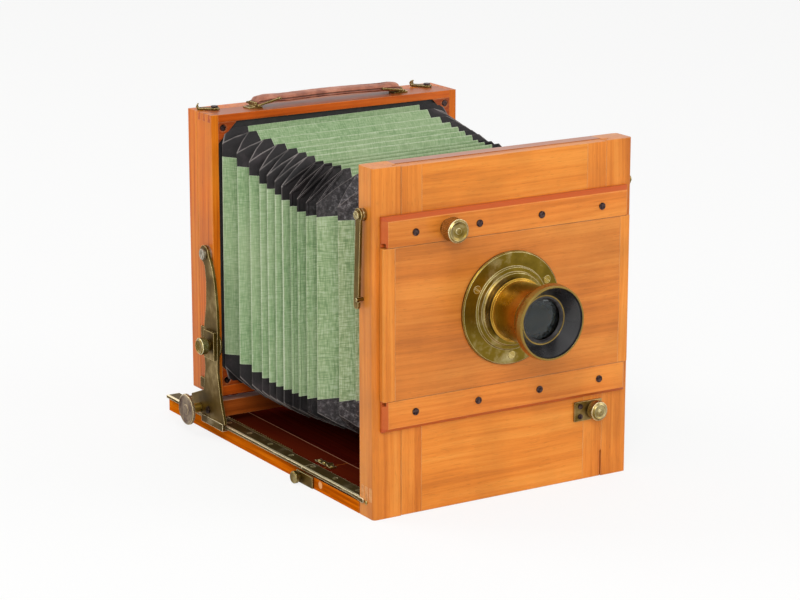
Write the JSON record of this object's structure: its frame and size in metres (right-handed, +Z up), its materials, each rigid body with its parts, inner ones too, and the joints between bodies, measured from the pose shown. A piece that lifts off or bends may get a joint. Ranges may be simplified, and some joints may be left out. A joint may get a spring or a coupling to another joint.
{
  "type": "field camera",
  "caption": "wooden field camera with green pleated bellows, brass lens on a rising and shifting front, rack focused rear frame with swing, leather handle and a flat folding bed",
  "frame": {"origin": "centre of the tripod bush's hole on the underside of the bed", "axes": "+X to the right of a person behind the camera, +Y from the lens towards the focusing screen, +Z up"},
  "size_m": [0.2352, 0.3519, 0.2438],
  "materials": {
    "light_mahogany": "french polished",
    "dark_mahogany": "french polished",
    "orange_mahogany": "french polished",
    "end_grain": "polished end grain",
    "black_wood": "blackened",
    "lacquered_brass": "lacquered",
    "aged_brass": "aged",
    "gold_brass": "gold lacquered",
    "dark_steel": "blued",
    "bright_steel": "polished",
    "green_cloth": "bookcloth with black leather corners",
    "handle_leather": "worn hide",
    "black_enamel": "matt black",
    "lens_glass": "clear",
    "ground_glass": "finely ground"
  },
  "bodies": {
    "bed_and_front": {"bed_rails": "orange_mahogany", "tail_rails": "orange_mahogany", "tail_end_rail": "orange_mahogany", "bed_panel": "dark_mahogany", "tail_panel": "dark_mahogany", "tracks": "aged_brass", "racks": "lacquered_brass", "bed_screws": "aged_brass", "bed_hinges": "aged_brass", "bed_lock_plates": "aged_brass", "joint_ends": "end_grain", "tripod_bush": "lacquered_brass", "front_stiles": "light_mahogany", "front_inner_frame": "orange_mahogany", "hook_fixings": "lacquered_brass", "bellows": "green_cloth"},
    "bed_lock_left": {"bed_lock_knob_left": "lacquered_brass"},
    "bed_lock_right": {"bed_lock_knob_right": "lacquered_brass"},
    "left_hook": {"hook_left": "aged_brass"},
    "right_hook": {"hook_right": "aged_brass"},
    "rising_front": {"rising_panel": "light_mahogany", "panel_battens": "light_mahogany", "strips": "light_mahogany", "front_screws": "dark_steel", "rise_lock_plate": "aged_brass"},
    "rise_lock": {"rise_lock_knob": "lacquered_brass"},
    "shift_lock": {"shift_lock_knob": "lacquered_brass"},
    "shifting_board": {"lens_board": "light_mahogany", "lens_board_battens": "light_mahogany", "lens_flange": "gold_brass", "flange_screws": "aged_brass"},
    "lens": {"lens_barrel": "gold_brass", "glass_ring": "black_enamel", "lens_glass": "lens_glass"},
    "carriage": {"carriage_board": "orange_mahogany", "struts": "aged_brass", "slides": "aged_brass", "strut_screws": "dark_steel"},
    "focus_shaft_set": {"focus_shaft": "lacquered_brass", "focus_knobs": "lacquered_brass"},
    "swing_frame": {"frame_sides": "orange_mahogany", "frame_rails": "orange_mahogany", "frame_gussets": "dark_mahogany", "frame_screws": "lacquered_brass", "bellows_frame": "black_wood", "swing_plates": "aged_brass", "clamp_blocks": "aged_brass", "pivot_screws": "bright_steel", "back_clips": "aged_brass", "handle_strap": "handle_leather", "handle_lugs": "aged_brass"},
    "swing_clamp_left": {"clamp_knob_left": "lacquered_brass"},
    "swing_clamp_right": {"clamp_knob_right": "lacquered_brass"},
    "left_catch": {"catch_left": "aged_brass"},
    "right_catch": {"catch_right": "aged_brass"},
    "reversing_back": {"back_frame": "orange_mahogany", "screen_hinges": "aged_brass"},
    "focusing_screen": {"screen_frame": "orange_mahogany", "ground_glass": "ground_glass", "screen_leaves": "aged_brass"}
  },
  "joints": [
    {"name": "front_rise", "type": "slide", "parent": "bed_and_front", "child": "rising_front", "axis": [0, 0, 1], "range_m": [0, 0.025]},
    {"name": "front_shift", "type": "slide", "parent": "rising_front", "child": "shifting_board", "axis": [1, 0, 0], "range_m": [-0.015, 0.015]},
    {"name": "lens_turn", "type": "hinge", "parent": "shifting_board", "child": "lens", "pos_m": [0, -0.055, 0.1322], "axis": [0, 1, 0], "range_deg": [0, 360]},
    {"name": "rise_lock_turn", "type": "hinge", "parent": "rising_front", "child": "rise_lock", "pos_m": [0.073, -0.06, 0.0494], "axis": [0, 1, 0], "range_deg": [0, 360]},
    {"name": "shift_lock_turn", "type": "hinge", "parent": "rising_front", "child": "shift_lock", "pos_m": [-0.049, -0.067, 0.192], "axis": [0, 1, 0], "range_deg": [0, 360]},
    {"name": "left_hook_swing", "type": "hinge", "parent": "bed_and_front", "child": "left_hook", "pos_m": [-0.1055, -0.044, 0.2038], "axis": [1, 0, 0], "range_deg": [0, 95]},
    {"name": "right_hook_swing", "type": "hinge", "parent": "bed_and_front", "child": "right_hook", "pos_m": [0.1055, -0.044, 0.2038], "axis": [1, 0, 0], "range_deg": [0, 95]},
    {"name": "bed_lock_left_turn", "type": "hinge", "parent": "bed_and_front", "child": "bed_lock_left", "pos_m": [-0.1035, 0.0405, 0.0046], "axis": [1, 0, 0], "range_deg": [0, 360]},
    {"name": "bed_lock_right_turn", "type": "hinge", "parent": "bed_and_front", "child": "bed_lock_right", "pos_m": [0.1035, 0.0405, 0.0046], "axis": [1, 0, 0], "range_deg": [0, 360]},
    {"name": "rear_focus", "type": "slide", "parent": "bed_and_front", "child": "carriage", "axis": [0, -1, 0], "range_m": [-0.04, 0.1], "deforming": ["bellows"]},
    {"name": "focus_turn", "type": "hinge", "parent": "carriage", "child": "focus_shaft_set", "pos_m": [0, 0.182, 0.0182], "axis": [1, 0, 0], "range_deg": [-330, 820]},
    {"name": "rear_swing", "type": "hinge", "parent": "carriage", "child": "swing_frame", "pos_m": [0, 0.1715, 0.1344], "axis": [1, 0, 0], "range_deg": [-2.5, 7], "deforming": ["bellows"]},
    {"name": "swing_clamp_left_turn", "type": "hinge", "parent": "swing_frame", "child": "swing_clamp_left", "pos_m": [-0.1125, 0.1615, 0.07], "axis": [1, 0, 0], "range_deg": [0, 360]},
    {"name": "swing_clamp_right_turn", "type": "hinge", "parent": "swing_frame", "child": "swing_clamp_right", "pos_m": [0.1125, 0.1615, 0.07], "axis": [1, 0, 0], "range_deg": [0, 360]},
    {"name": "left_catch_turn", "type": "hinge", "parent": "swing_frame", "child": "left_catch", "pos_m": [-0.089, 0.183, 0.236], "axis": [0, 0, 1], "range_deg": [0, 80]},
    {"name": "right_catch_turn", "type": "hinge", "parent": "swing_frame", "child": "right_catch", "pos_m": [0.089, 0.183, 0.236], "axis": [0, 0, 1], "range_deg": [0, 100]},
    {"name": "back_release", "type": "slide", "parent": "swing_frame", "child": "reversing_back", "axis": [0, 1, 0], "range_m": [0, 0.03]},
    {"name": "screen_swing", "type": "hinge", "parent": "reversing_back", "child": "focusing_screen", "pos_m": [0, 0.2012, 0.2051], "axis": [1, 0, 0], "range_deg": [0, 135]}
  ],
  "couplings": [
    {"joint": "focus_turn", "follows": "rear_focus", "rad_per_m": 142.86}
  ]
}
